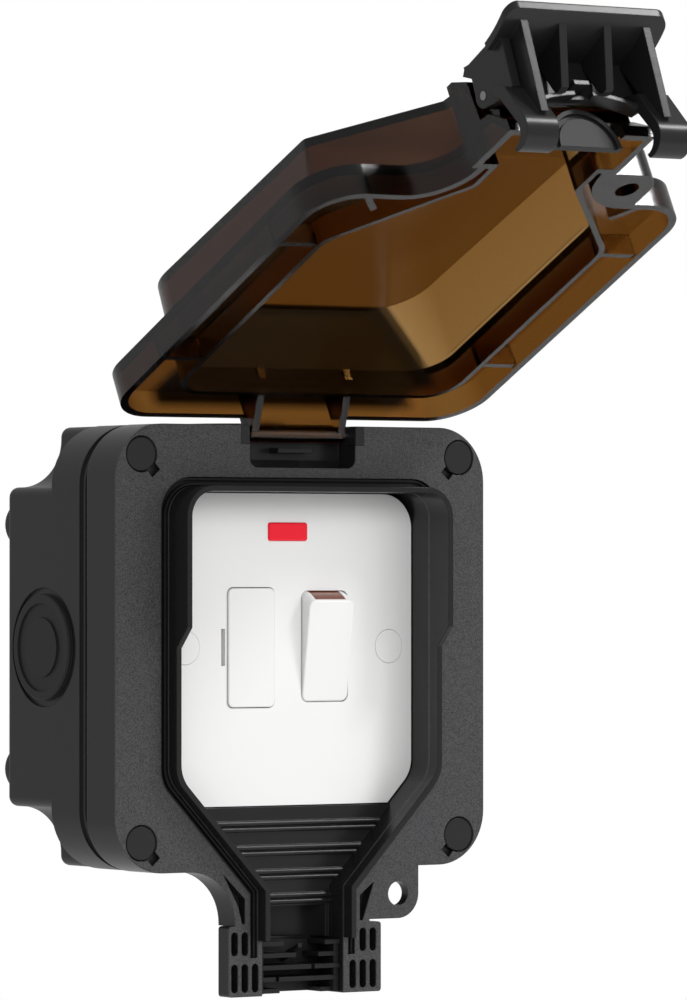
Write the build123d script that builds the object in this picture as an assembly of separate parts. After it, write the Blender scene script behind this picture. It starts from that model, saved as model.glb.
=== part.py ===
from build123d import *
import os
from math import atan2, cos, degrees, radians, sin, tan

# Weatherproof switched fused spur, in millimetres.
# X runs to the right as seen from the front, the wall is the plane Y = 0, the front faces -Y and Z is up.
# The origin is the centre of the wall fixings. A depth is a distance from the wall, so Y = -depth.

# Body outline and depths
BODY = 108.6
BODY_R = 13.5
BOX_R = BODY_R + 1.5
HALF = BODY / 2
FOOT_H = 2.6
BOX_FRONT = 36.4
NOTCH_DEPTH = BOX_FRONT - 12.8
BOX_LIP = 1.8
LIP_INSET = 0.6
SEAL_INSET = 1.3
SEAL_T = 1.6
FRAME_BACK = BOX_FRONT + BOX_LIP + SEAL_T
FRAME_T = 12.9
FRONT = FRAME_BACK + FRAME_T
WALL = 2.4
ARM_STEP = 15.0
ARM_HALF = HALF - ARM_STEP
NOTCH_R = ARM_STEP * 0.8
BOX_EDGE_R = 2.5
BOX_BACK_R = 1.6

# Wall fixings and feet
FIX_X = HALF - 6.8
FIX_Z = 30.15
FIX_R = 2.25
FOOT_R = 6.2

# Cable entries
ENTRY_DEPTH = BOX_FRONT - 16.5
ENTRY_R = 10.2
PLUG_R = 13.0
ENTRY_RING_R = 14.6
ENTRY_RING_T = 0.7
PLUG_PROUD = 0.9
FIT = 0.15

# Cover screws and their caps
COVER_X = HALF - 7.5
COVER_Z = HALF - 7.4
CAP_R = 4.15
CAP_RECESS_R = 4.5
CAP_RECESS_D = 0.4
CAP_T = 2.2
NOTCH_W = 3.0
NOTCH_L = 2.6
COVER_SHANK_R = 1.75
COVER_HEAD_R = 3.5
COVER_HEAD_T = 2.4
COVER_GRIP = 16.0
POST_R = 4.6

# Collar round the opening, its seal groove and the throat
COLLAR_IN = 37.75
COLLAR_T = 1.35
COLLAR_TOP = 38.0
COLLAR_R = 7.5
TAPER_START = -31.3
THROAT_HALF = 12.0
THROAT_TOP = -HALF - 4.4
COLLAR_HIGH = 8.5
COLLAR_LOW = 3.7
STEP_TOP = 5.0
STEP_BOTTOM = 0.0
GROOVE_W = 2.1
GROOVE_D = 4.6
GROOVE_SKIN = 1.4
TAPER_R = 10.0
NECK_HALF = 19.8
NECK_R = 13.0
NECK_BACK = FRONT - 7.5
BLOCK_LEFT = 21.7
BLOCK_RIGHT = 23.2
BLOCK_R = 0.8
BLOCK_TOP = -HALF - NECK_R - 0.5
BODY_END = BLOCK_TOP - 17.2
COLLAR_END = BODY_END + 13.6
GROOVE_END = BODY_END + 9.4
BLOCK_T = 4.6
SLOT_W = 2.0
SLOT_PITCH = 3.0
SLOT_DEPTH = 3.2

# Pockets in the face beside the neck, as (x, z)
POCKET_LEFT = [(-23.4, -54.9), (-16.9, -61.2), (-16.9, -67.2), (-17.8, -67.2), (-19.0, -62.9)]
POCKET_RIGHT = [(21.2, -57.8), (16.9, -61.2), (16.9, -67.4), (17.8, -67.4)]
POCKET_D = 3.0

# Padlock eyes
EYE_X = NECK_HALF + 8.6
EYE_Z = -HALF - 6.8
EYE_R = 3.0
EYE_OUTER = 6.1
EYE_T = 2.8

# Hinge
HINGE_DEPTH = FRONT - 4.2
HINGE_Z = HALF - 2.1
HINGE_PIN_R = 1.0
KNUCKLE_R = 2.1
RUN_FIT = 0.05
HINGE_HALF = 15.6
HINGE_RECESS_Z = HINGE_Z - 8.3
HINGE_RECESS_BACK = FRONT - 7.5
HINGE_BAR_FRONT = FRONT - 3.3
HINGE_BAR_Z = HINGE_Z - 4.0
HINGE_SLOPE = 2.4
HINGE_WALL = 1.6
KEEPER_W = 2.6
KEEPER_H = 4.6
TONGUE_HALF = 13.7
ARM_T = 2.0

# Faceplate and what is in it
FACE = FRONT - 6.5
PLATE_GAP = 0.25
PLATE_BOTTOM = -39.1
PLATE_CORNER_R = 8.5
PLATE_SLOPE_W = 6.5
PLATE_SLOPE_DROP = 0.9
PLATE_BLEND_R = 45.0
PLATE_T = 2.2
PLATE_BACK = FACE - 9.0
PLATE_FIX_X = 30.15
PLATE_CAP_R = 4.15
NEON_X = -0.2
NEON_Z = 28.3
NEON_W = 11.6
NEON_H = 4.6
NEON_R = 0.7
FUSE_X = -11.0
FUSE_Z = -0.1
FUSE_W = 14.0
FUSE_H = 29.6
FUSE_PROUD = 0.5
PRY_X = -19.1
PRY_W = 1.1
PRY_H = 9.0
ROCKER_X = 10.8
ROCKER_Z = 0.1
ROCKER_W = 14.0
ROCKER_H = 27.5
ROCKER_GAP = 0.3
ROCKER_CORNER = 1.6
ROCKER_LOW = 0.1
ROCKER_SWING = 16.2
ROCKER_PIVOT = FACE - 6.0
ROCKER_REACH = 14.7
WINDOW_LIP = 0.5
TRUNNION_R = 1.4
FUSE_LENGTH = 25.4
FUSE_R = 3.15
FUSE_CAP_L = 5.0
FUSE_DEPTH = FACE - 11.7
CAP_PROUD = 0.05

# Module behind the faceplate
HOUSING_BACK = PLATE_BACK - 23.2
HOUSING_T = 2.0
HOUSING_HALF = 25.0
HOUSING_TALL = 27.0
TERMINAL_SEAT = PLATE_BACK - 11.2
TERMINAL_Z = 22.0
TERMINAL_PITCH = 16.0

# Ribbed floor below the plate
FLOOR_T = 2.0
RIB_PITCH = 5.95
RIB_FIRST = PLATE_BOTTOM - 4.8
RIB_GAP = 1.5
RIB_R = 0.6
RIB_H = 0.85
RIB_ROWS = 4
CRADLE_TOP = COLLAR_END + 7.8
CRADLE_BOTTOM = COLLAR_END

# Lid, drawn closed and then swung open about the hinge
LID_ANGLE = 117.2
RIM = FRONT + 0.7
SKIRT_HALF = HALF - 0.9
SKIRT_TOP = HALF - 1.0
SKIRT_BOTTOM = -HALF - 0.2
SKIRT_D = 8.0
SKIN = 2.0
RING_T = 1.4
RING_FIT = 0.8
GROW_REF = COLLAR_T + RING_FIT + RING_T
DOME_DEPTH = RIM + 27.4
DOME_SLOPE_Z = -33.5
DOME_SLOPE_DROP = 4.6
DOME_END = COLLAR_END + 1.4
DOME_TILT = 1.5
DOME_DRAFT = 2.1
DOME_NECK = 16.2
DOME_LEAN = 5.2
DOME_KINK = 2.2
DOME_R = 9.0
CROWN_R = 15.0
RING_KINK_R = 8.0
CROWN_KINK_R = 2.0
SEAL_CENTRE = FRONT - 2.9
THROAT_SEAL_R = 10.0
THROAT_SEAL_CORE = 7.6
THROAT_SEAL_RIM = 8.9
BLOCK_LID = NECK_HALF + 1.0
LID_END_DEPTH = RIM + 21.6
COLLAR_ROOM = 0.35

# Comb grommet: where the two bars of each row stop
COMB_GAPS = [(-4.7, 7.4), (-0.8, 5.8), (3.4, 4.4), (-6.8, -5.8), (-4.7, 7.4)]
COMB_BAR = 1.1
COMB_FRONT = FRONT - 1.3

# Latch, in the closed lid's place. Its outlines are measured from the pin, outwards and up.
LATCH_DEPTH = RIM + 11.9
LATCH_Z = BODY_END + 4.8
LATCH_PIN_R = 1.1
EAR_R = 3.0
EAR_IN = 19.0
EAR_OUT = 21.4
LATCH_HALF = 23.0
LATCH_T = 1.9
LATCH_CORNER = 3.2
LATCH_WIDE_END = LATCH_Z - 7.8
LEVER_FREE = (13.6, -19.7)
LEVER_MID = (9.1, -6.3)
LEVER_TOP = (9.8, 3.8)
HOOK_IN = 14.4
RIB_OUTER_X = 17.5
RIB_INNER_X = 6.4
LATCH_RIB_T = 2.1
LIP_R = 41.0
LIP_T = 1.1
LIP_FAR = -3.1
LIP_END = -9.2
ROOF_Z = -4.2

os.makedirs("parts", exist_ok=True)


def at_depth(depth):
    return Plane(origin=(0, -depth, 0), x_dir=(1, 0, 0), z_dir=(0, -1, 0))


def layer(sketch, near, far):
    return extrude(at_depth(near) * sketch, amount=far - near)


def box(x0, x1, near, far, z0, z1):
    size = (x1 - x0, far - near, z1 - z0)
    return Pos((x0 + x1) / 2, -(near + far) / 2, (z0 + z1) / 2) * Box(*size)


def rod(x, z, radius, near, far):
    return Pos(x, -(near + far) / 2, z) * Rot(90, 0, 0) * Cylinder(radius, far - near)


def cross_rod(depth, z, radius, x0, x1):
    return Pos((x0 + x1) / 2, -depth, z) * Rot(0, 90, 0) * Cylinder(radius, x1 - x0)


def side_slab(points, x0, x1):
    """A plate of constant thickness across X, from a (depth, z) outline."""
    outline = [(-depth, z) for depth, z in points]
    face = Plane.YZ.offset(x0) * make_face(Polyline(*outline, close=True))
    return extrude(face, amount=x1 - x0)


def rounded(width, height, radius):
    return RectangleRounded(width, height, radius)


def at_xz(x, z, sketch):
    return Pos(x, z) * sketch


def corners(x, z):
    return [(sx * x, sz * z) for sx in (-1, 1) for sz in (-1, 1)]


def save(shape, name):
    shape.label = name
    export_step(shape, f"parts/{name}.step")


def throat_outline(grow, top_r, end):
    """The opening's outline, grown outwards: straight sides, a taper and a parallel throat."""
    slope = atan2(TAPER_START - THROAT_TOP, COLLAR_IN - THROAT_HALF)
    half = COLLAR_IN + grow
    neck = THROAT_HALF + grow
    lean = grow * tan((radians(90) - slope) / 2)
    top = COLLAR_TOP + grow
    points = [
        (half, top),
        (-half, top),
        (-half, TAPER_START - lean),
        (-neck, THROAT_TOP - lean),
        (-neck, end),
        (neck, end),
        (neck, THROAT_TOP - lean),
        (half, TAPER_START - lean),
    ]
    face = make_face(Polyline(*points, close=True))
    tops = face.vertices().sort_by(Axis.Y)[-2:]
    face = fillet(tops, top_r)
    kinks = [v for v in face.vertices() if abs(v.Y - TAPER_START + lean) < 0.01]
    return fillet(kinks, TAPER_R - 2)


def comb_bed(grow):
    """The grommet's place between the blocks, as a rectangle grown sideways."""
    height = COLLAR_END - BODY_END
    return at_xz(0, (COLLAR_END + BODY_END) / 2, Rectangle(2 * (THROAT_HALF + grow), height))


def collar_top_trim():
    """What stands above the lower half of the collar, with its ramp."""
    low = FRONT + COLLAR_LOW
    high = FRONT + COLLAR_HIGH
    points = [(low, STEP_BOTTOM), (high, STEP_TOP), (high + 5, STEP_TOP), (high + 5, -95), (low, -95)]
    return side_slab(points, -60, 60)


def cross_outline(grow):
    wide = Rectangle(BODY + 2 * grow, 2 * (ARM_HALF + grow))
    tall = Rectangle(2 * (ARM_HALF + grow), BODY + 2 * grow)
    face = wide + tall
    inner = [v for v in face.vertices() if abs(abs(v.X) - abs(v.Y)) < 0.01]
    face = fillet(inner, NOTCH_R)
    tips = [v for v in face.vertices() if max(abs(v.X), abs(v.Y)) > HALF + grow - 0.01]
    return fillet(tips, BOX_EDGE_R)


def entry_places():
    """Name, centre and outward direction of the four cable entries."""
    return [
        ("left", (-HALF, -ENTRY_DEPTH, 0), (-1, 0, 0)),
        ("right", (HALF, -ENTRY_DEPTH, 0), (1, 0, 0)),
        ("top", (0, -ENTRY_DEPTH, HALF), (0, 0, 1)),
        ("bottom", (0, -ENTRY_DEPTH, -HALF), (0, 0, -1)),
    ]


def entry_plane(centre, outward):
    return Plane(origin=centre, x_dir=(0, 1, 0), z_dir=outward)


def make_back_box():
    body = layer(cross_outline(0), FOOT_H, NOTCH_DEPTH)
    body = fillet(body.edges().group_by(Axis.Y)[-1], BOX_BACK_R)
    body += layer(rounded(BODY, BODY, BOX_R), NOTCH_DEPTH, BOX_FRONT)
    lip = BODY - 2 * LIP_INSET
    body += layer(rounded(lip, lip, BOX_R - LIP_INSET), BOX_FRONT, BOX_FRONT + BOX_LIP)
    body -= layer(cross_outline(-WALL), FOOT_H + WALL, BOX_FRONT)
    room = BODY - 2 * WALL
    body -= layer(rounded(room, room, BOX_R - WALL), NOTCH_DEPTH + WALL, BOX_FRONT + BOX_LIP)
    for x, z in corners(COVER_X, COVER_Z):
        body += rod(x, z, POST_R, NOTCH_DEPTH, BOX_FRONT)
    for x, z in corners(FIX_X, FIX_Z):
        foot = rod(x, z, FOOT_R, 0, FOOT_H + WALL)
        body += fillet(foot.edges().sort_by(Axis.Y)[-1], 1.0)
    for side in (-1, 1):
        body += rod(side * PLATE_FIX_X, 0, POST_R, FOOT_H + WALL / 2, PLATE_BACK - 0.2)
    body = keep_inside(body)
    for x, z in corners(COVER_X, COVER_Z):
        body -= rod(x, z, COVER_SHANK_R, BOX_FRONT + BOX_LIP - COVER_GRIP + 5, BOX_FRONT + BOX_LIP + 1)
    for x, z in corners(FIX_X, FIX_Z):
        body -= rod(x, z, FIX_R, -1, FOOT_H + WALL + 1)
    for side in (-1, 1):
        body -= rod(side * PLATE_FIX_X, 0, COVER_SHANK_R, PLATE_BACK - 20, PLATE_BACK)
    for _, centre, outward in entry_places():
        place = entry_plane(centre, outward)
        body -= place * Pos(0, 0, -WALL / 2) * Cylinder(ENTRY_R, WALL + 2)
        ring = Circle(ENTRY_RING_R) - Circle(PLUG_R + FIT)
        body -= extrude(place * ring, amount=-ENTRY_RING_T)
    return body


def keep_inside(body):
    """Posts that reach the rounded corners end at the outer wall."""
    limit = layer(cross_outline(0), 0, NOTCH_DEPTH)
    limit += layer(rounded(BODY, BODY, BOX_R), NOTCH_DEPTH, FRONT)
    return body & limit


def make_entry_plug(centre, outward):
    """A blanking plug: a dished head outside, a groove over the wall and a flange inside."""
    head = Cylinder(PLUG_R, PLUG_PROUD, align=(Align.CENTER, Align.CENTER, Align.MIN))
    head = fillet(head.edges().sort_by(Axis.Z)[-1], PLUG_PROUD * 0.6)
    head -= Pos(0, 0, PLUG_PROUD) * (Cylinder(PLUG_R - 2.2, PLUG_PROUD) - Cylinder(PLUG_R * 0.56, PLUG_PROUD))
    neck = Pos(0, 0, -WALL / 2) * Cylinder(ENTRY_R, WALL)
    flange = Pos(0, 0, -WALL - 0.6) * Cylinder(ENTRY_R + 1.2, 1.2)
    plug = head + neck + flange
    plug -= Pos(0, 0, -WALL - 0.7) * Cylinder(ENTRY_R - 1.6, 1.8)
    return entry_plane(centre, outward) * plug


def make_box_gasket():
    size = BODY - 2 * SEAL_INSET
    ring = rounded(size, size, BOX_R - SEAL_INSET)
    inner = BODY - 2 * WALL - 1.0
    ring -= rounded(inner, inner, BODY_R - WALL)
    for x, z in corners(COVER_X, COVER_Z):
        ring += at_xz(x, z, Circle(POST_R)) & rounded(size, size, BOX_R - SEAL_INSET)
        ring -= at_xz(x, z, Circle(COVER_SHANK_R + 0.3))
    return layer(ring, BOX_FRONT + BOX_LIP, FRAME_BACK)


def frame_outline():
    """Rounded square with the neck, its concave shoulders and the padlock tab."""
    face = rounded(BODY, BODY, BODY_R)
    shoulder = NECK_R + NECK_HALF
    skirt = Polyline(
        (-shoulder, -HALF + 1), (-shoulder, -HALF), (-NECK_HALF, -HALF - NECK_R),
        (-NECK_HALF, BLOCK_TOP), (NECK_HALF, BLOCK_TOP), (NECK_HALF, -HALF - NECK_R),
        (shoulder, -HALF), (shoulder, -HALF + 1), close=True,
    )
    face += make_face(skirt)
    for side in (-1, 1):
        face -= at_xz(side * shoulder, -HALF - NECK_R, Circle(NECK_R))
    return face


def eye_tab():
    tab = Circle(EYE_OUTER)
    arm = Polyline(
        (EYE_X, EYE_Z - EYE_OUTER), (NECK_HALF - 1, EYE_Z - EYE_OUTER), (NECK_HALF - 1, -HALF + 1),
        (EYE_X + EYE_OUTER, -HALF + 1), (EYE_X + EYE_OUTER, EYE_Z), (EYE_X, EYE_Z), close=True,
    )
    return at_xz(EYE_X, EYE_Z, tab) + make_face(arm)


def cut_block_slots(body):
    """Two rows of slots in each block; the lower row has one more."""
    for row, (low, high) in enumerate([(BODY_END + 10.0, BODY_END + 15.8), (BODY_END + 1.0, BODY_END + 8.0)]):
        for first, step in ((1.7 - BLOCK_LEFT, SLOT_PITCH), (BLOCK_RIGHT - 2.4, -SLOT_PITCH)):
            for column in range(2 + row):
                slot = Rot(0, 0, 90) * SlotOverall(high - low, SLOT_W)
                place = at_xz(first + column * step, (low + high) / 2, slot)
                body -= layer(place, FRONT - SLOT_DEPTH, FRONT + 1)
    return body


def make_floor():
    """The ribbed floor below the plate, a round cradle after it, and the grommet's bed."""
    deep = FACE - FLOOR_T
    side = THROAT_HALF + COLLAR_T / 2
    outline = throat_outline(COLLAR_T / 2, COLLAR_R, BODY_END + 0.5)
    below = at_xz(0, (PLATE_BOTTOM + CRADLE_TOP) / 2, Rectangle(2 * HALF, PLATE_BOTTOM - CRADLE_TOP))
    floor = layer(outline & below, deep, FACE)
    room = layer(outline & below, deep, FACE + RIB_H)
    for row in range(RIB_ROWS):
        for step in (0, 1):
            z = RIB_FIRST - row * RIB_PITCH - step * RIB_GAP + RIB_GAP / 2
            floor += cross_rod(FACE + RIB_H - RIB_R, z, RIB_R, -HALF, HALF) & room
    cradle = box(-side, side, deep - 8, FACE, CRADLE_BOTTOM, CRADLE_TOP)
    cradle -= Pos(0, -FACE - 2, (CRADLE_BOTTOM + CRADLE_TOP) / 2) * Cylinder(THROAT_HALF - 0.8, 30)
    cradle -= box(-THROAT_HALF, THROAT_HALF, FACE, FRONT, CRADLE_BOTTOM - 1, CRADLE_TOP + 1)
    bed = box(-side, side, FRAME_BACK, FRAME_BACK + 1.8, BODY_END + 0.6, CRADLE_BOTTOM)
    end_wall = box(-side, side, deep - 8, FRAME_BACK + 1.8, CRADLE_BOTTOM - 1.6, CRADLE_BOTTOM + 0.1)
    return floor + cradle + bed + end_wall


def make_front_frame():
    body = layer(rounded(BODY, BODY, BODY_R), FRAME_BACK, FRONT) + layer(frame_outline(), NECK_BACK, FRONT)
    body -= layer(offset(rounded(BODY, BODY, BODY_R), -WALL), FRAME_BACK, FRONT - WALL)
    neck_room = Rectangle(2 * (NECK_HALF - 2 * WALL), -BLOCK_TOP - HALF + 6)
    body -= layer(at_xz(0, (BLOCK_TOP - HALF + 6) / 2 + 1, neck_room), FRAME_BACK, FRONT - WALL)
    outer = throat_outline(COLLAR_T + GROOVE_W + GROOVE_SKIN, COLLAR_R, BODY_END)
    body += layer(outer, FRONT - GROOVE_D - GROOVE_SKIN, FRONT - 0.1)
    body += layer(throat_outline(COLLAR_T, COLLAR_R, COLLAR_END), FRAME_BACK, FRONT + COLLAR_HIGH)
    body += layer(comb_bed(COLLAR_T), FRAME_BACK, FRONT)
    square = layer(rounded(BODY, BODY, BODY_R), FRAME_BACK, FRONT)
    for x, z in corners(COVER_X, COVER_Z):
        body += rod(x, z, CAP_R + 2, FRAME_BACK, FRONT - 0.1) & square
    reach = HINGE_HALF + 5
    low = HINGE_RECESS_Z - HINGE_WALL
    body += box(-reach, reach, HINGE_RECESS_BACK - HINGE_WALL, FRONT - 0.1, low, HALF)
    body += layer(block_face(), FRONT - BLOCK_T, FRONT)
    body += layer(eye_tab(), FRONT - EYE_T, FRONT)
    body -= collar_top_trim()
    body -= groove_cut()
    body -= layer(throat_outline(0, COLLAR_R - COLLAR_T, BODY_END - 1), FRAME_BACK - 1, FRONT + 20)
    body += make_floor()
    body = cut_block_slots(body)
    body = cut_hinge_recess(body)
    body = cut_cover_seats(body)
    for pocket in (POCKET_LEFT, POCKET_RIGHT):
        body -= layer(make_face(Polyline(*pocket, close=True)), FRONT - POCKET_D, FRONT + 1)
    body -= rod(EYE_X, EYE_Z, EYE_R, FRONT - EYE_T - 1, FRONT + 1)
    return body


def block_face():
    """The two blocks beside the throat that the latch hooks behind."""
    faces = []
    for inner, outer in ((-THROAT_HALF, -BLOCK_LEFT), (THROAT_HALF, BLOCK_RIGHT)):
        shape = rounded(abs(outer - inner), BLOCK_TOP - BODY_END, BLOCK_R)
        faces.append(at_xz((inner + outer) / 2, (BLOCK_TOP + BODY_END) / 2, shape))
    return faces[0] + faces[1]


def groove_cut():
    outer = throat_outline(COLLAR_T + GROOVE_W, COLLAR_R + 1, GROOVE_END)
    inner = throat_outline(COLLAR_T, COLLAR_R, GROOVE_END - 1)
    return layer(outer - inner, FRONT - GROOVE_D, FRONT + 1)


def cut_hinge_recess(body):
    top = HALF + 5
    mouth = at_xz(0, (HINGE_RECESS_Z + top) / 2, rounded(2 * HINGE_HALF, top - HINGE_RECESS_Z, 2.4))
    body -= layer(mouth, HINGE_RECESS_BACK, FRONT + 1)
    body += box(-5.1, 5.1, HINGE_RECESS_BACK - 0.2, HINGE_BAR_FRONT, HINGE_BAR_Z - 0.6, HINGE_BAR_Z + 0.6)
    back = HINGE_RECESS_BACK - 0.2
    low = HINGE_RECESS_Z - 0.2
    wedge = [(back, low), (back + HINGE_SLOPE, low), (back, low + HINGE_SLOPE)]
    body += side_slab(wedge, -HINGE_HALF, HINGE_HALF)
    body -= cross_rod(HINGE_DEPTH, HINGE_Z, HINGE_PIN_R, -HINGE_HALF - KEEPER_W, HINGE_HALF + KEEPER_W)
    for side in (-1, 1):
        body -= keeper_block(side, 0)
    return body


def keeper_block(side, play):
    inner = HINGE_HALF if side > 0 else -HINGE_HALF - KEEPER_W
    middle = HINGE_Z - 0.3
    return box(inner + play, inner + KEEPER_W - play, HINGE_DEPTH, FRONT + (1 if play == 0 else 0),
               middle - KEEPER_H / 2 + play, middle + KEEPER_H / 2 - play)


def make_keepers():
    """Two small blocks that press the hinge pin's ends into the frame."""
    pin = cross_rod(HINGE_DEPTH, HINGE_Z, HINGE_PIN_R + 0.02, -HALF, HALF)
    return Compound([keeper_block(side, 0.06) - pin for side in (-1, 1)])


def cut_cover_seats(body):
    for x, z in corners(COVER_X, COVER_Z):
        body -= rod(x, z, CAP_RECESS_R, FRONT - CAP_RECESS_D, FRONT + 1)
        body -= rod(x, z, CAP_R + FIT, FRONT - CAP_RECESS_D - CAP_T - COVER_HEAD_T - 2, FRONT + 1)
        body -= rod(x, z, COVER_SHANK_R + 0.25, FRAME_BACK - 1, FRONT)
        notch = Pos(*notch_place(x, z)) * Rot(0, 0, notch_turn(x, z)) * Rectangle(NOTCH_L, NOTCH_W)
        body -= layer(notch, FRONT - 1.6, FRONT + 1)
    return body


def notch_place(x, z):
    """The lever notch lies at the lower inner side of each cap."""
    angle = radians(notch_turn(x, z))
    reach = CAP_RECESS_R + NOTCH_L / 2 - 0.8
    return (x + reach * cos(angle), z + reach * sin(angle))


def notch_turn(x, z):
    return -48 if x < 0 else -132


def make_cover_screws():
    screws = []
    for x, z in corners(COVER_X, COVER_Z):
        seat = FRONT - CAP_RECESS_D - CAP_T - COVER_HEAD_T - 2
        screw = rod(x, z, COVER_HEAD_R, seat, seat + COVER_HEAD_T)
        screw += rod(x, z, COVER_SHANK_R, seat - COVER_GRIP, seat)
        screw -= box(x - 0.4, x + 0.4, seat + COVER_HEAD_T - 1.2, seat + COVER_HEAD_T + 1, z - 3, z + 3)
        screw -= box(x - 3, x + 3, seat + COVER_HEAD_T - 1.2, seat + COVER_HEAD_T + 1, z - 0.4, z + 0.4)
        screws.append(screw)
    return Compound(screws)


def make_cover_caps():
    """Round caps pressed into the frame over the cover screws."""
    caps = []
    for x, z in corners(COVER_X, COVER_Z):
        cap = rod(x, z, CAP_R, FRONT - CAP_RECESS_D - CAP_T, FRONT - 0.15)
        caps.append(chamfer(cap.edges().sort_by(Axis.Y)[0], 0.2))
    return Compound(caps)


def make_lid_seal():
    """A soft profile in the groove with two raised lips."""
    inner = COLLAR_T + 0.15
    outer = COLLAR_T + GROOVE_W - 0.15
    end = GROOVE_END + 0.15
    base = throat_outline(outer, COLLAR_R + 1, end) - throat_outline(inner, COLLAR_R, end - 2)
    seal = layer(base, FRONT - GROOVE_D, FRONT - GROOVE_D + 2.4)
    lips = [(inner, inner + 0.6), (outer - 0.6, outer)]
    for low, high in lips:
        lip = throat_outline(high, COLLAR_R + 1, end) - throat_outline(low, COLLAR_R, end - 2)
        seal += layer(lip, FRONT - GROOVE_D + 2.2, FRONT - 0.8)
    return seal


def make_throat_seal():
    """The comb grommet: two side posts, rows of bars that meet in the middle and a centre pin."""
    side = THROAT_HALF - 0.2
    low = FRAME_BACK + 1.8
    z0 = BODY_END + 0.3
    z1 = COLLAR_END - 0.5
    post = COMB_BAR + 0.3
    seal = box(-side, side, low, low + 2, z0, z1)
    for x in (-side, side - post):
        seal += box(x, x + post, low, COMB_FRONT - 0.6, z0, z1)
    pitch = (z1 - z0 - COMB_BAR) / (len(COMB_GAPS) - 1)
    for row, (left, right) in enumerate(COMB_GAPS):
        z = z1 - COMB_BAR / 2 - row * pitch
        front = COMB_FRONT - 0.5 * (row % 2)
        if row == len(COMB_GAPS) - 1:
            front = SEAL_CENTRE - 0.3
        seal += box(-side, left, low, front, z - COMB_BAR / 2, z + COMB_BAR / 2)
        seal += box(right, side, low, front, z - COMB_BAR / 2, z + COMB_BAR / 2)
    pin = [(low, z1 - 1.5 * pitch), (COMB_FRONT, z1 - 0.6), (COMB_FRONT, z1 - 1.6), (low, z1 - 2.2 * pitch)]
    return seal + side_slab(pin, -COMB_BAR / 2, COMB_BAR / 2)


def plate_outline(shrink):
    """The plate fills the opening down to the ribbed floor."""
    reach = throat_outline(-PLATE_GAP - shrink, PLATE_CORNER_R - shrink, BODY_END)
    low = PLATE_BOTTOM + PLATE_GAP + shrink
    return reach & at_xz(0, (COLLAR_TOP + low) / 2, Rectangle(2 * HALF, COLLAR_TOP - low))


def plate_blank(proud):
    """The plate's outer form: flat in the middle, sloping a little to the sides and the top."""
    low = PLATE_BOTTOM + PLATE_GAP
    edge = FACE + proud - PLATE_SLOPE_DROP
    blank = layer(throat_outline(-PLATE_GAP, PLATE_CORNER_R, BODY_END), PLATE_BACK, edge)
    lean = 90 - degrees(atan2(PLATE_SLOPE_DROP, PLATE_SLOPE_W))
    face = at_depth(edge) * throat_outline(-PLATE_GAP, PLATE_CORNER_R, BODY_END)
    crown = extrude(face, amount=PLATE_SLOPE_DROP, taper=lean)
    crown = fillet(crown.edges().group_by(Axis.Y)[0], PLATE_BLEND_R)
    blank += crown
    return blank - box(-HALF, HALF, 0, FRONT, -2 * HALF, low)


def make_faceplate():
    body = plate_blank(0)
    body -= layer(plate_outline(PLATE_T), PLATE_BACK, FACE - PLATE_T - 2)
    limit = layer(plate_outline(0), PLATE_BACK, FACE)
    far = FACE - PLATE_SLOPE_DROP - 0.2
    for side in (-1, 1):
        body += rod(side * PLATE_FIX_X, 0, PLATE_CAP_R + 1.6, PLATE_BACK, far) & limit
    left = FUSE_X - FUSE_W / 2 - 1.6
    right = ROCKER_X + ROCKER_W / 2 + 1.6
    body += box(left, right, PLATE_BACK, FACE - 1, -FUSE_H / 2 - 2, FUSE_H / 2 + 2)
    for side in (-1, 1):
        body -= rod(side * PLATE_FIX_X, 0, PLATE_CAP_R + FIT / 2, FACE - 3.2, FACE + 1)
        body -= rod(side * PLATE_FIX_X, 0, COVER_SHANK_R + 0.25, PLATE_BACK - 1, FACE)
        body -= rod(side * PLATE_FIX_X, 0, COVER_HEAD_R + 0.2, FACE - 6.6, FACE)
    window = at_xz(NEON_X, NEON_Z, rounded(NEON_W, NEON_H, NEON_R))
    body -= layer(window, PLATE_BACK, FACE + 1)
    body -= fuse_window(0)
    body -= rocker_window()
    reach = ROCKER_W / 2 + 1.2
    body -= cross_rod(ROCKER_PIVOT, ROCKER_Z, TRUNNION_R + RUN_FIT, ROCKER_X - reach, ROCKER_X + reach)
    body -= box(PRY_X - PRY_W / 2, PRY_X + PRY_W / 2, PLATE_BACK, FACE + 1, -PRY_H / 2, PRY_H / 2)
    return body


def make_plate_caps():
    """Round caps over the plate's screws, with the plate's own slope."""
    form = plate_blank(CAP_PROUD)
    rods = [rod(side * PLATE_FIX_X, 0, PLATE_CAP_R, FACE - 3.0, FACE + 1) for side in (-1, 1)]
    return Compound([cap & form for cap in rods])


def fuse_window(play):
    shape = rounded(FUSE_W - 2 * play, FUSE_H - 2 * play, 1.6)
    return layer(at_xz(FUSE_X, FUSE_Z, shape), PLATE_BACK - 1, FACE + 3)


def rocker_window():
    """A rounded opening in the face with a longer room behind it for the rocker's round ends."""
    shape = at_xz(ROCKER_X, ROCKER_Z, rounded(ROCKER_W, ROCKER_H, ROCKER_CORNER + ROCKER_GAP))
    room = at_xz(ROCKER_X, ROCKER_Z, Rectangle(ROCKER_W, 2 * ROCKER_REACH + 2 * ROCKER_GAP))
    return layer(shape, FACE - 2, FACE + 3) + layer(room, PLATE_BACK - 1, FACE - WINDOW_LIP)


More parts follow.
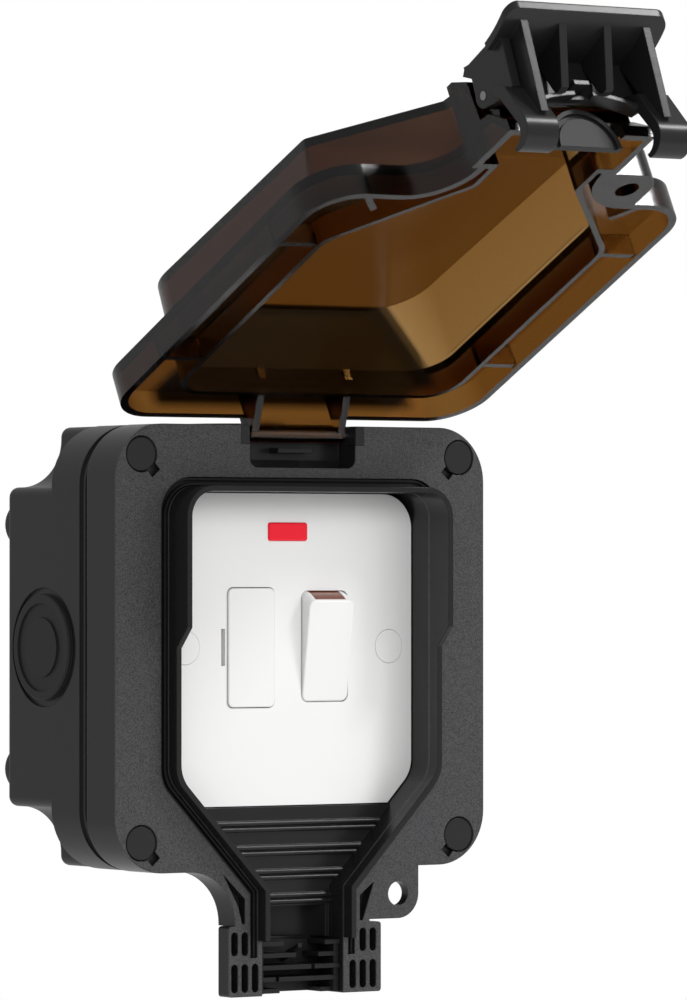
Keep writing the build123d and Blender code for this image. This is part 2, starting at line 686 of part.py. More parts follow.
def make_fuse_carrier():
    """A drawer for the cartridge fuse, open to the back where the clips grip the fuse."""
    play = 0.2
    shape = rounded(FUSE_W - 2 * play, FUSE_H - 2 * play, 1.5)
    drawer = layer(at_xz(FUSE_X, FUSE_Z, shape), FUSE_DEPTH - 1.5, FACE + FUSE_PROUD)
    drawer = fillet(drawer.edges().group_by(Axis.Y)[0], 0.35)
    drawer -= box(FUSE_X - FUSE_W, FUSE_X + FUSE_W, FUSE_DEPTH - 3, FACE - 4.5,
                  FUSE_Z - FUSE_LENGTH / 2 - 0.15, FUSE_Z + FUSE_LENGTH / 2 + 0.15)
    for side in (-1, 1):
        z = FUSE_Z + side * 4
        arch = box(FUSE_X - 4.6, FUSE_X + 4.6, FUSE_DEPTH - 0.5, FACE - 4, z - 1.2, z + 1.2)
        arch -= Pos(FUSE_X, -FUSE_DEPTH, z) * Cylinder(FUSE_R + 0.02, 4)
        drawer += arch
    return drawer


def make_fuse_cartridge():
    body = Pos(FUSE_X, -FUSE_DEPTH, FUSE_Z) * Cylinder(FUSE_R - 0.3, FUSE_LENGTH - 1)
    return body + Pos(FUSE_X, -FUSE_DEPTH, FUSE_Z) * Cylinder(FUSE_R, FUSE_LENGTH - 2 * FUSE_CAP_L)


def make_fuse_caps():
    caps = []
    for side in (-1, 1):
        middle = FUSE_Z + side * (FUSE_LENGTH / 2 - FUSE_CAP_L / 2)
        cap = Pos(FUSE_X, -FUSE_DEPTH, middle) * Cylinder(FUSE_R, FUSE_CAP_L)
        caps.append(cap - make_fuse_cartridge())
    return Compound(caps)


def make_fuse_clips():
    """Two brass forks that take the fuse's end caps."""
    clips = []
    for side in (-1, 1):
        z = FUSE_Z + side * (FUSE_LENGTH / 2 - FUSE_CAP_L / 2)
        low = HOUSING_BACK + HOUSING_T
        clip = box(FUSE_X - 4.3, FUSE_X + 4.3, low, FUSE_DEPTH + 1, z - 1.8, z + 1.8)
        clip -= box(FUSE_X - FUSE_R - 0.05, FUSE_X + FUSE_R + 0.05, low + 0.9, FUSE_DEPTH + 2, z - 3, z + 3)
        clips.append(clip)
    return Compound(clips)


def rocker_solid():
    """A round-ended block with a flat face. At rest its lower end is pressed in."""
    low_rise = FACE + ROCKER_LOW - ROCKER_PIVOT
    low_z = -(ROCKER_REACH ** 2 - low_rise ** 2) ** 0.5
    turn = atan2(-low_z, low_rise) - radians(ROCKER_SWING)
    crest = (ROCKER_REACH * cos(turn), ROCKER_REACH * sin(turn))
    block = cross_rod(ROCKER_PIVOT, ROCKER_Z, ROCKER_REACH, ROCKER_X - ROCKER_W / 2 + ROCKER_GAP,
                      ROCKER_X + ROCKER_W / 2 - ROCKER_GAP)
    points = [(-2.6, -20), (-2.6, 20), crest, (low_rise, low_z)]
    reach = 4 * (crest[0] - low_rise) / (crest[1] - low_z)
    points[2:2] = [(crest[0] + reach, crest[1] + 4)]
    points += [(low_rise - reach, low_z - 4)]
    places = [(ROCKER_PIVOT + t, ROCKER_Z + z) for t, z in points]
    block &= side_slab(places, ROCKER_X - ROCKER_W, ROCKER_X + ROCKER_W)
    ends = block.edges().filter_by(GeomType.CIRCLE)
    block = fillet(ends, ROCKER_CORNER)
    return fillet(block.edges().group_by(Axis.Y)[0], 0.4)


def make_rocker():
    reach = ROCKER_W / 2 + 1.0
    trunnions = cross_rod(ROCKER_PIVOT, ROCKER_Z, TRUNNION_R, ROCKER_X - reach, ROCKER_X + reach)
    return rocker_solid() + trunnions


def make_switch_housing():
    """The module's back moulding, with room for the fuse, the rocker and the terminals."""
    back = HOUSING_BACK
    body = box(-HOUSING_HALF, HOUSING_HALF, back, PLATE_BACK, -HOUSING_TALL, HOUSING_TALL)
    body -= box(-18.6, 18.4, back + HOUSING_T, PLATE_BACK + 1, -15.6, 15.6)
    body += box(-1.0, 1.0, back + 1, PLATE_BACK, -15.7, 15.7)
    for x, z in terminal_places():
        body -= box(x - 5, x + 5, back - 1, TERMINAL_SEAT, z - 4, z + 4)
        body -= rod(x, z, 2.2, TERMINAL_SEAT - 1, PLATE_BACK + 1)
    return body


def terminal_places():
    return [(x, z) for z in (-TERMINAL_Z, TERMINAL_Z) for x in (-TERMINAL_PITCH, 0, TERMINAL_PITCH)]


def make_terminals():
    blocks = []
    for x, z in terminal_places():
        block = box(x - 4.6, x + 4.6, HOUSING_BACK + 1, TERMINAL_SEAT, z - 3.6, z + 3.6)
        block -= Pos(x, -(HOUSING_BACK + 5), z) * Cylinder(2.4, 20)
        block -= rod(x, z, 1.7, HOUSING_BACK + 5, TERMINAL_SEAT + 1)
        blocks.append(block)
    return Compound(blocks)


def make_terminal_screws():
    screws = []
    for x, z in terminal_places():
        top = TERMINAL_SEAT + 3.5
        screw = rod(x, z, 1.7, TERMINAL_SEAT - 4, top) + rod(x, z, 2.1, top - 2.5, top)
        screw -= box(x - 0.4, x + 0.4, top - 1, top + 1, z - 3, z + 3)
        screws.append(screw)
    return Compound(screws)


def make_switch_contacts():
    blades = []
    for z in (-9, 9):
        low = HOUSING_BACK + HOUSING_T
        blade = box(ROCKER_X - 4.5, ROCKER_X + 4.5, low + 4, low + 4.9, z - 2.5, z + 2.5)
        blade += box(ROCKER_X - 1.5, ROCKER_X + 1.5, low, low + 4.2, z - 1.5, z + 1.5)
        blades.append(blade)
    return Compound(blades)


def make_plate_screws():
    screws = []
    for side in (-1, 1):
        x = side * PLATE_FIX_X
        screw = rod(x, 0, COVER_HEAD_R, FACE - 6.6, FACE - 4.4)
        screw += rod(x, 0, COVER_SHANK_R, FACE - 22, FACE - 6.6)
        screw -= box(x - 0.5, x + 0.5, FACE - 5.4, FACE - 4, -3, 3)
        screws.append(screw)
    return Compound(screws)


def make_neon_lens():
    play = 0.08
    outline = at_xz(NEON_X, NEON_Z, rounded(NEON_W - 2 * play, NEON_H - 2 * play, NEON_R - play))
    lens = layer(outline, FACE - 3, FACE + 0.5)
    lens = fillet(lens.edges().group_by(Axis.Y)[0], 0.4)
    hollow = at_xz(NEON_X, NEON_Z, rounded(NEON_W - 2, NEON_H - 1.8, 0.4))
    return lens - layer(hollow, FACE - 4, FACE - 1.2)


def make_neon_lamp():
    lamp = cross_rod(FACE - 2.6, NEON_Z, NEON_H / 2 - 0.95, NEON_X - 4.4, NEON_X + 4.4)
    return fillet(lamp.edges().filter_by(GeomType.CIRCLE), 0.8)


def hinge_axis():
    return Axis((0, -HINGE_DEPTH, HINGE_Z), (1, 0, 0))


def swing_open(shape):
    return shape.rotate(hinge_axis(), -LID_ANGLE)


def skirt_outline(shrink):
    """The lid's rim: like the frame's outline, with an S curve into the neck."""
    half = SKIRT_HALF - shrink
    top = SKIRT_TOP - shrink
    shoulder = NECK_R + NECK_HALF - 1 + shrink
    neck = NECK_HALF - 1 - shrink
    low = SKIRT_BOTTOM + shrink
    end = BLOCK_TOP - 1
    face = at_xz(0, (top + low) / 2, rounded(2 * half, top - low, BODY_R - 1 - shrink))
    radius = NECK_R + shrink
    sweep = Polyline(
        (-neck - radius, low + 1), (-neck - radius, low), (-neck, low - radius), (-neck, end),
        (neck, end), (neck, low - radius), (neck + radius, low), (neck + radius, low + 1), close=True,
    )
    face += make_face(sweep)
    for side in (-1, 1):
        face -= at_xz(side * (neck + radius), low - radius, Circle(radius))
    return face


def lid_tab(shrink):
    radius = EYE_OUTER + 0.6 - shrink
    reach = NECK_HALF - 4
    arm = at_xz((reach + EYE_X) / 2, EYE_Z, Rectangle(EYE_X - reach, 2 * radius))
    up = at_xz(EYE_X, (EYE_Z - HALF + 4) / 2, Rectangle(2 * radius, -HALF + 4 - EYE_Z))
    return at_xz(EYE_X, EYE_Z, Circle(radius)) + arm + up


def ring_outline(grow, end):
    half = COLLAR_IN + grow
    neck = THROAT_HALF + grow
    corner_r = DOME_R - GROW_REF + grow
    return dome_outline(half, neck, COLLAR_TOP + grow, taper_start(grow), end, corner_r, RING_KINK_R)


def crown_outline(grow, end):
    """The dome's front: sides drawn in, the hinge side leaning out."""
    half = COLLAR_IN + grow - DOME_DRAFT
    neck = DOME_NECK - GROW_REF + grow
    top = COLLAR_TOP + grow + DOME_LEAN
    corner_r = CROWN_R - GROW_REF + grow
    return dome_outline(half, neck, top, taper_start(grow) - DOME_KINK, end, corner_r, CROWN_KINK_R)


def taper_slope():
    return atan2(TAPER_START - THROAT_TOP, COLLAR_IN - THROAT_HALF)


def taper_start(grow):
    return TAPER_START - grow * tan((radians(90) - taper_slope()) / 2)


def dome_outline(half, neck, top, start, end, corner_r, kink_r):
    throat = start - (half - neck) * tan(taper_slope())
    points = [
        (half, top), (-half, top), (-half, start), (-neck, throat),
        (-neck, end), (neck, end), (neck, throat), (half, start),
    ]
    face = make_face(Polyline(*points, close=True))
    face = fillet(face.vertices().sort_by(Axis.Y)[-2:], corner_r)
    kinks = [v for v in face.vertices() if abs(v.Y - start) < 0.01]
    return fillet(kinks, kink_r)


def dome_plane(depth):
    lean = radians(DOME_TILT)
    return Plane(origin=(0, -depth, 0), x_dir=(1, 0, 0), z_dir=(0, -cos(lean), -sin(lean)))


def dome_solid(grow, near, far, end):
    """The dome from its ring to its front, which falls a little towards the throat."""
    foot = at_depth(near) * ring_outline(grow, end)
    crown = dome_plane(far) * crown_outline(grow, end)
    dome = loft([foot, crown], ruled=True)
    high = far + DOME_SLOPE_Z * tan(radians(DOME_TILT))
    low = high - DOME_SLOPE_DROP
    above = far + 5
    points = [(high, DOME_SLOPE_Z), (low, BLOCK_TOP), (low, end - 5), (above, end - 5), (above, DOME_SLOPE_Z)]
    return dome - side_slab(points, -HALF, HALF)


def lid_end(shrink):
    """Side view of the lid's throat end, which carries the latch."""
    far = LID_END_DEPTH - shrink
    near = LATCH_DEPTH - shrink
    top = BLOCK_TOP - shrink
    return [
        (RIM, top), (far, top), (far, DOME_END - 0.3 * shrink), (far - 3, BODY_END + 9.8 + shrink),
        (near - 3.9, BODY_END + 9.2 + shrink), (near - 4.3, BODY_END + 6), (near - 9.1, BODY_END + shrink),
        (RIM, BODY_END + shrink),
    ]


def make_lid():
    ring_in = COLLAR_T + RING_FIT
    ring_out = ring_in + RING_T
    flange = RIM + SKIRT_D
    outline = skirt_outline(0) + lid_tab(0)
    inside = skirt_outline(SKIN)
    lid = layer(outline, RIM, flange)
    lid -= layer(inside, RIM, flange - SKIN)
    lid += dome_solid(ring_out, RIM, DOME_DEPTH, DOME_END)
    lid += side_slab(lid_end(0), -BLOCK_LID, BLOCK_LID)
    lid += lid_webs(ring_out)
    lid -= side_slab(lid_end(SKIN), -BLOCK_LID + SKIN, BLOCK_LID - SKIN)
    lid -= dome_solid(ring_in, RIM - 0.01, DOME_DEPTH - SKIN, DOME_END - 0.5)
    lid -= box(-THROAT_HALF, THROAT_HALF, RIM - 1, RIM + 4.2, BODY_END - 1, DOME_END)
    collar = throat_outline(COLLAR_T + COLLAR_ROOM, COLLAR_R, COLLAR_END - 1)
    lid -= layer(collar, RIM - 1, FRONT + COLLAR_HIGH + 0.5)
    lid -= Pos(0, -SEAL_CENTRE, BODY_END) * Cylinder(THROAT_SEAL_R, 12)
    lid += layer(lid_tab(0) & at_xz(EYE_X, EYE_Z, Circle(EYE_OUTER + 0.6)), RIM, flange)
    lid += latch_boss()
    lid += hinge_knuckle()
    lid -= cross_rod(HINGE_DEPTH, HINGE_Z, HINGE_PIN_R + RUN_FIT, -20, 20)
    lid -= cross_rod(LATCH_DEPTH, LATCH_Z, LATCH_PIN_R, -30, 30)
    lid -= rod(EYE_X, EYE_Z, EYE_R, RIM - 1, flange + 1)
    return lid


def lid_webs(ring_out):
    """Thin walls between the ring and the skirt, and the padlock eye's pocket."""
    far = RIM + SKIRT_D - 0.5
    web = 1.6
    edge = COLLAR_IN + ring_out - 0.3
    webs = None
    for side in (-1, 1):
        for z in (-30, 25):
            x0, x1 = sorted((side * edge, side * (SKIRT_HALF - 0.5)))
            piece = box(x0, x1, RIM + 0.4, far, z - web / 2, z + web / 2)
            webs = piece if webs is None else webs + piece
        place = Pos(side * (SKIRT_HALF - 16.2), -(RIM + far + 1.2) / 2, SKIRT_BOTTOM + 5.5)
        diagonal = place * Rot(0, side * 47, 0) * Box(9.5, far - RIM - 1.2, web)
        webs += diagonal
    return webs


def latch_boss():
    """The lid's cross bar for the latch pin, on two short webs."""
    bar = cross_rod(LATCH_DEPTH, LATCH_Z, 2.9, -EAR_IN + 0.4, EAR_IN - 0.4)
    for side in (-1, 1):
        x0, x1 = sorted((side * 11, side * (EAR_IN - 0.4)))
        bar += box(x0, x1, LATCH_DEPTH - 5.8, LATCH_DEPTH, LATCH_Z - 0.4, LATCH_Z + 5.2)
    return bar


def hinge_knuckle():
    """Barrel on the pin, the tongue from the skirt to it and two side arms from the ring."""
    barrel = cross_rod(HINGE_DEPTH, HINGE_Z, KNUCKLE_R, -TONGUE_HALF, TONGUE_HALF)
    tongue = box(-TONGUE_HALF, TONGUE_HALF, HINGE_DEPTH, RIM + 1, SKIRT_TOP - SKIN, SKIRT_TOP)
    knuckle = barrel + tongue
    ring_z = COLLAR_TOP + COLLAR_T + RING_FIT + RING_T
    far = RIM + SKIRT_D - 0.5
    profile = [
        (RIM + 4, ring_z - 0.5), (far, ring_z - 0.5), (far, SKIRT_TOP - 1),
        (HINGE_DEPTH, SKIRT_TOP - 1), (HINGE_DEPTH - 1.3, HINGE_Z - 1.5),
    ]
    for side in (-1, 1):
        x0, x1 = sorted((side * TONGUE_HALF, side * (TONGUE_HALF - ARM_T)))
        knuckle += side_slab(profile, x0, x1)
    return knuckle


def make_lid_throat_seal():
    """Half-round soft wall that closes the lid's end over the cable, with a ring groove in its outer face."""
    middle = BODY_END + 1.0
    disc = Pos(0, -SEAL_CENTRE, middle) * Cylinder(THROAT_SEAL_R, 2.0)
    ring = Cylinder(THROAT_SEAL_RIM, 2.0) - Cylinder(THROAT_SEAL_CORE, 2.0)
    disc -= Pos(0, -SEAL_CENTRE, middle - 1.2) * ring
    disc &= box(-30, 30, SEAL_CENTRE, SEAL_CENTRE + 30, -120, 0)
    return disc


def make_latch_pin():
    return cross_rod(LATCH_DEPTH, LATCH_Z, LATCH_PIN_R, -EAR_OUT - 0.1, EAR_OUT + 0.1)


def from_pin(points):
    return [(LATCH_DEPTH + out, LATCH_Z + up) for out, up in points]


def lever_plate():
    """The finger plate: a shallow curve from its free edge up to the pin's cover."""
    places = from_pin((LEVER_FREE, LEVER_MID, LEVER_TOP))
    outer = ThreePointArc(*[(-depth, z) for depth, z in places])
    inner = ThreePointArc(*[(LATCH_T - depth, z) for depth, z in reversed(places)])
    edges = [outer, Line(outer @ 1, inner @ 0), inner, Line(inner @ 1, outer @ 0)]
    face = Plane.YZ.offset(-LATCH_HALF) * make_face(edges)
    plate = extrude(face, amount=2 * LATCH_HALF)
    for side in (-1, 1):
        x0, x1 = sorted((side * EAR_OUT, side * (LATCH_HALF + 1)))
        plate -= box(x0, x1, LATCH_DEPTH, LATCH_DEPTH + 20, LATCH_WIDE_END, LATCH_Z + 10)
    ends = plate.edges().filter_by(Axis.Y).group_by(Axis.Z)[0]
    return fillet(ends, LATCH_CORNER)


def latch_cheek():
    """Side wall between the finger plate, the pin and the hook."""
    return from_pin([
        (9.3, 3.7), (8.0, 5.0), (5.8, 2.2), (0, EAR_R - 0.2),
        (-EAR_R, 0), (-3.8, -2.8), (-3.8, -10.8), (10.1, -12.2),
    ])


def hook_face():
    """Side view of one hook: a straight arm that ends in a rolled tip."""
    outer = [(-depth, z) for depth, z in from_pin([(-12.7, -13.7), (-18.2, -12.9), (-19.5, -7.8)])]
    inner = [(-depth, z) for depth, z in from_pin([(-18.4, -7.4), (-17.0, -10.6), (-13.5, -11.0)])]
    arm = [(-depth, z) for depth, z in from_pin([(-5.5, -7.6), (-3.9, -5.7), (-2.1, -6.0), (-3.8, -10.4)])]
    edges = [ThreePointArc(*outer), Line(outer[2], inner[0]), ThreePointArc(*inner)]
    return make_face(edges + [Polyline(inner[2], *arm, outer[0])])


def latch_ribs():
    """Side views of the outer ribs, which run down to the hooks, and of the inner ones."""
    root = (LEVER_FREE[0] - 2.5, LEVER_FREE[1] + 2.5)
    outer = from_pin([root, (-12.5, -14.6), (-11.8, -12.4), (-3.7, -9.0), (8.3, ROOF_Z)])
    inner = from_pin([root, (LIP_FAR - 0.3, -11.0), (LIP_FAR - 0.9, -8.3), (8.3, ROOF_Z)])
    return ((RIB_OUTER_X, outer), (RIB_INNER_X, inner))


def latch_lip():
    """The arched lip between the hooks, split in the middle, its roof and a bridge behind the split."""
    far = LATCH_DEPTH + LIP_FAR
    low = LATCH_Z + LIP_END
    high = LATCH_Z + ROOF_Z - 0.9
    ring = Cylinder(LIP_R, high - low) - Cylinder(LIP_R - LIP_T, high - low)
    lip = Pos(0, LIP_R - far, (low + high) / 2) * ring
    lip &= box(-HOOK_IN - 1, HOOK_IN + 1, far - 4, far + 1, low, high)
    lip -= box(-2.5, 2.5, far - 2, far + 1, low - 1, low + 2.2)
    near = LIP_FAR - 0.9
    roof = from_pin([(near, ROOF_Z), (8.3, ROOF_Z + 0.8), (8.3, ROOF_Z - 0.6), (near, ROOF_Z - 1.4)])
    bridge = box(-2.6, 1.8, far + 1.2, far + 2.4, low - 0.8, high)
    return lip + side_slab(roof, -EAR_OUT, EAR_OUT) + bridge


def make_latch():
    """Finger plate, arched lip, four ribs, two side cheeks on the pin and two rolled hooks."""
    lever = lever_plate() + latch_lip()
    for side in (-1, 1):
        x0, x1 = sorted((side * EAR_IN, side * EAR_OUT))
        lever += side_slab(latch_cheek(), x0, x1)
        lever += cross_rod(LATCH_DEPTH, LATCH_Z, EAR_R, x0, x1)
        x0, x1 = sorted((side * HOOK_IN, side * (LATCH_HALF + 0.4)))
        lever += extrude(Plane.YZ.offset(x0) * hook_face(), amount=x1 - x0)
        for x, outline in latch_ribs():
            middle = side * x
            lever += side_slab(outline, middle - LATCH_RIB_T / 2, middle + LATCH_RIB_T / 2)
    return lever - cross_rod(LATCH_DEPTH, LATCH_Z, LATCH_PIN_R + RUN_FIT, -30, 30)


def main():
    save(make_back_box(), "back_box")
    for name, centre, outward in entry_places():
        save(make_entry_plug(centre, outward), f"entry_plug_{name}")
    save(make_box_gasket(), "box_gasket")
    save(make_front_frame(), "front_frame")
    save(make_cover_screws(), "cover_screws")
    save(make_cover_caps(), "cover_screw_caps")
    save(make_lid_seal(), "lid_seal")
    save(make_throat_seal(), "throat_comb_seal")
    save(make_faceplate(), "faceplate")
    save(make_plate_screws(), "plate_screws")
    save(make_plate_caps(), "plate_screw_caps")
    save(make_neon_lens(), "neon_lens")
    save(make_neon_lamp(), "neon_lamp")
    save(make_fuse_carrier(), "fuse_carrier")
    save(make_fuse_cartridge(), "fuse_cartridge")
    save(make_fuse_caps(), "fuse_end_caps")
    save(make_fuse_clips(), "fuse_clips")
    save(make_rocker(), "rocker")
    save(make_switch_housing(), "switch_housing")
    save(make_switch_contacts(), "switch_contacts")
    save(make_terminals(), "terminals")
    save(make_terminal_screws(), "terminal_screws")
    pin_half = HINGE_HALF + KEEPER_W
    save(cross_rod(HINGE_DEPTH, HINGE_Z, HINGE_PIN_R, -pin_half, pin_half), "hinge_pin")
    save(make_keepers(), "hinge_pin_keepers")
    save(swing_open(make_lid()), "lid")
    save(swing_open(make_lid_throat_seal()), "lid_throat_seal")
    save(swing_open(make_latch_pin()), "latch_pin")
    save(swing_open(make_latch()), "latch")


main()
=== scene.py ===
from math import cos, radians, sin

import bpy
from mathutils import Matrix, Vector

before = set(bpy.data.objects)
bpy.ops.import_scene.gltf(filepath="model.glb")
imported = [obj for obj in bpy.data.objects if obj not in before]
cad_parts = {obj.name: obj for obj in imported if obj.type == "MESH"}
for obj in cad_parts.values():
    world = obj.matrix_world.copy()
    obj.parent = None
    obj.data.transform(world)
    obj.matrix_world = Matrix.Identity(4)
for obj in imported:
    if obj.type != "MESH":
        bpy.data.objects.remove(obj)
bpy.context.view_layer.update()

# Camera, floor and lamps, in metres; lamp powers in watts
EYE = (-0.8580, -1.3278, 0.0187)
LOOK = (0.5636, 0.8260, 0.0113)
LENS_MM = 225.8
FLOOR_Z = -0.16
FLOOR_R = 0.72
PART_CENTRE = (0, -0.07, 0)
THROAT = (0, -0.05, -0.05)
SOFT_LIGHT = 0.5
GLOSS_LIGHT = 0.5

# Colours of the plastics
BLACK = (0.013, 0.013, 0.0135)
GRAIN_LOW = (0.028, 0.028, 0.029)
GRAIN_HIGH = (0.080, 0.080, 0.083)
RUBBER = (0.012, 0.012, 0.0125)
CAP_BLACK = (0.016, 0.016, 0.017)
WHITE = (0.87, 0.87, 0.865)
INDICATOR = (0.19, 0.055, 0.03)
CLEAR = (0.97, 0.96, 0.94)
HINGE_PAINTED_SHADE = (0.03, 0.028, 0.025)
AMBER = (0.60, 0.41, 0.06)
AMBER_DENSITY = 2000.0

# Places on the part, in millimetres, and the angle that the lid stands open
FRONT_DEPTH = 52.7
HINGE_DEPTH = 48.5
HINGE_Z = 52.2
LID_ANGLE = 117.2


def shader(tree):
    return tree.nodes["Principled BSDF"]


def coordinates(tree):
    return tree.nodes.new("ShaderNodeTexCoord").outputs["Object"]


def noise(tree, scale, detail=2.0, rough=0.5):
    texture = tree.nodes.new("ShaderNodeTexNoise")
    texture.inputs["Scale"].default_value = scale
    texture.inputs["Detail"].default_value = detail
    texture.inputs["Roughness"].default_value = rough
    tree.links.new(coordinates(tree), texture.inputs["Vector"])
    return texture.outputs["Fac"]


def soft_edges(tree, radius):
    """Normals that round every edge a little, as a mould does."""
    bevel = tree.nodes.new("ShaderNodeBevel")
    bevel.samples = 4
    bevel.inputs["Radius"].default_value = radius
    return bevel.outputs["Normal"]


def add_bump(tree, height, depth, strength=None, base=None):
    bump = tree.nodes.new("ShaderNodeBump")
    bump.inputs["Distance"].default_value = depth
    tree.links.new(height, bump.inputs["Height"])
    if strength is not None:
        tree.links.new(strength, bump.inputs["Strength"])
    if base is not None:
        tree.links.new(base, bump.inputs["Normal"])
    tree.links.new(bump.outputs["Normal"], shader(tree).inputs["Normal"])


def ramp(tree, factor, stops):
    node = tree.nodes.new("ShaderNodeValToRGB")
    elements = node.color_ramp.elements
    while len(elements) < len(stops):
        elements.new(0.5)
    for element, (place, colour) in zip(elements, stops):
        element.position = place
        element.color = (*colour, 1.0)
    tree.links.new(factor, node.inputs["Fac"])
    return node.outputs["Color"]


def spread(tree, value, low, high, to_low, to_high):
    """Takes a value from one range to another, held at both ends."""
    node = tree.nodes.new("ShaderNodeMapRange")
    node.inputs["From Min"].default_value = low
    node.inputs["From Max"].default_value = high
    node.inputs["To Min"].default_value = to_low
    node.inputs["To Max"].default_value = to_high
    tree.links.new(value, node.inputs["Value"])
    return node.outputs["Result"]


def arithmetic(tree, operation, first, second):
    node = tree.nodes.new("ShaderNodeMath")
    node.operation = operation
    for socket, value in zip(node.inputs, (first, second)):
        if isinstance(value, float):
            socket.default_value = value
        else:
            tree.links.new(value, socket)
    return node.outputs[0]


def near_plane(tree, axis, place, width):
    """1 on the surface whose object coordinate along one axis is near a value, else 0."""
    split = tree.nodes.new("ShaderNodeSeparateXYZ")
    tree.links.new(coordinates(tree), split.inputs["Vector"])
    away = arithmetic(tree, "ABSOLUTE", arithmetic(tree, "SUBTRACT", split.outputs[axis], place), 0.0)
    return spread(tree, away, width, width * 1.4, 1.0, 0.0)


def blend(tree, factor, first, second):
    node = tree.nodes.new("ShaderNodeMix")
    node.data_type = "RGBA"
    tree.links.new(factor, node.inputs["Factor"])
    for socket, colour in ((node.inputs[6], first), (node.inputs[7], second)):
        if isinstance(colour, tuple):
            socket.default_value = (*colour, 1.0)
        else:
            tree.links.new(colour, socket)
    return node.outputs[2]


def plain(name, colour, rough, metallic=0.0, specular=0.5):
    material = bpy.data.materials.new(name)
    material.use_nodes = True
    tree = material.node_tree
    bsdf = shader(tree)
    bsdf.inputs["Base Color"].default_value = (*colour, 1.0)
    bsdf.inputs["Roughness"].default_value = rough
    bsdf.inputs["Metallic"].default_value = metallic
    bsdf.inputs["Specular IOR Level"].default_value = specular
    return material, tree


def local_point(name, x, y, z):
    """A place in millimetres, in the coordinates of one of the pieces."""
    point = Vector((x / 1000, y / 1000, z / 1000))
    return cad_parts[name].matrix_world.inverted() @ point


def moulded(name, colour, rough, face_y=None):
    """Black plastic, glossy and slightly wavy. The front face, if its place is given, is finely grained."""
    material, tree = plain(name, colour, rough, specular=0.32)
    edges = soft_edges(tree, 0.0004)
    if face_y is None:
        add_bump(tree, noise(tree, 250.0, 2.0), 0.00003, base=edges)
        return material
    face = near_plane(tree, "Y", face_y, 0.00025)
    fine = noise(tree, 4200.0, 1.0, 0.6)
    grains = ramp(tree, fine, [(0.36, GRAIN_LOW), (0.64, GRAIN_HIGH)])
    tree.links.new(blend(tree, face, colour, grains), shader(tree).inputs["Base Color"])
    tree.links.new(spread(tree, face, 0.0, 1.0, rough, 0.46), shader(tree).inputs["Roughness"])
    add_bump(tree, fine, 0.00004, spread(tree, face, 0.0, 1.0, 0.05, 1.0), edges)
    return material


def smooth(name, colour, rough, wave=60.0, specular=0.5):
    """Moulded plastic or rubber with a barely wavy surface."""
    material, tree = plain(name, colour, rough, specular=specular)
    add_bump(tree, noise(tree, wave, 1.0), 0.00002, base=soft_edges(tree, 0.0002))
    return material


def white_rocker():
    """White plastic with the brown-red indicator on the rocker's upper end."""
    material, tree = plain("white_rocker", WHITE, 0.22)
    split = tree.nodes.new("ShaderNodeSeparateXYZ")
    tree.links.new(coordinates(tree), split.inputs["Vector"])
    middle = local_point("rocker", 10.6, 0, 11.7)
    aside = arithmetic(tree, "ABSOLUTE", arithmetic(tree, "SUBTRACT", split.outputs["X"], middle.x), 0.0)
    across = spread(tree, aside, 0.0045, 0.0046, 1.0, 0.0)
    above = spread(tree, split.outputs["Z"], middle.z - 0.0001, middle.z + 0.0001, 0.0, 1.0)
    band = arithmetic(tree, "MULTIPLY", across, above)
    tree.links.new(blend(tree, band, WHITE, INDICATOR), shader(tree).inputs["Base Color"])
    add_bump(tree, noise(tree, 60.0, 1.0), 0.00002)
    return material


def metal(name, colour, rough):
    material, tree = plain(name, colour, rough, metallic=1.0)
    add_bump(tree, noise(tree, 900.0, 2.0), 0.00002)
    return material


def smoked(name):
    """Tinted clear plastic: its own thickness turns light amber. The dome's hinge side gets painted shade,
    a dark tint that stands in for a dark surround seen through the wall.
    """
    material, tree = plain(name, CLEAR, 0.2, specular=0.3)
    bsdf = shader(tree)
    hinge = local_point("lid", 0, -HINGE_DEPTH, HINGE_Z)
    angle = radians(LID_ANGLE)
    split = tree.nodes.new("ShaderNodeSeparateXYZ")
    tree.links.new(coordinates(tree), split.inputs["Vector"])
    back = arithmetic(tree, "SUBTRACT", split.outputs["Y"], hinge.y)
    up = arithmetic(tree, "SUBTRACT", split.outputs["Z"], hinge.z)
    along = arithmetic(tree, "SUBTRACT", arithmetic(tree, "MULTIPLY", up, cos(angle)),
                       arithmetic(tree, "MULTIPLY", back, -sin(angle)))
    out = arithmetic(tree, "ADD", arithmetic(tree, "MULTIPLY", back, -cos(angle)),
                     arithmetic(tree, "MULTIPLY", up, sin(angle)))
    leaning = arithmetic(tree, "SUBTRACT", along, arithmetic(tree, "MULTIPLY", out, 0.19))
    near_hinge = spread(tree, leaning, -0.0150, -0.0142, 0.0, 1.0)
    above_ring = spread(tree, out, 0.0060, 0.0090, 0.0, 1.0)
    inner = spread(tree, arithmetic(tree, "ABSOLUTE", split.outputs["X"], 0.0), 0.036, 0.040, 1.0, 0.0)
    # Painted shade: the hinge-side wall of the dome is tinted dark, for a dark surround seen through it
    painted_shade = arithmetic(tree, "MULTIPLY", arithmetic(tree, "MULTIPLY", near_hinge, above_ring), inner)
    tree.links.new(blend(tree, painted_shade, CLEAR, HINGE_PAINTED_SHADE), bsdf.inputs["Base Color"])
    bsdf.inputs["Transmission Weight"].default_value = 1.0
    bsdf.inputs["IOR"].default_value = 1.45
    inside = tree.nodes.new("ShaderNodeVolumeAbsorption")
    inside.inputs["Color"].default_value = (*AMBER, 1.0)
    inside.inputs["Density"].default_value = AMBER_DENSITY
    tree.links.new(inside.outputs["Volume"], tree.nodes["Material Output"].inputs["Volume"])
    add_bump(tree, noise(tree, 300.0, 2.0), 0.00003)
    return material


def glowing(name, colour, rough, glow):
    """Clear coloured plastic that gives off a little light of its own."""
    material, tree = plain(name, colour, rough)
    bsdf = shader(tree)
    bsdf.inputs["Emission Color"].default_value = (*colour, 1.0)
    bsdf.inputs["Emission Strength"].default_value = glow
    add_bump(tree, noise(tree, 500.0, 1.0), 0.00002)
    return material


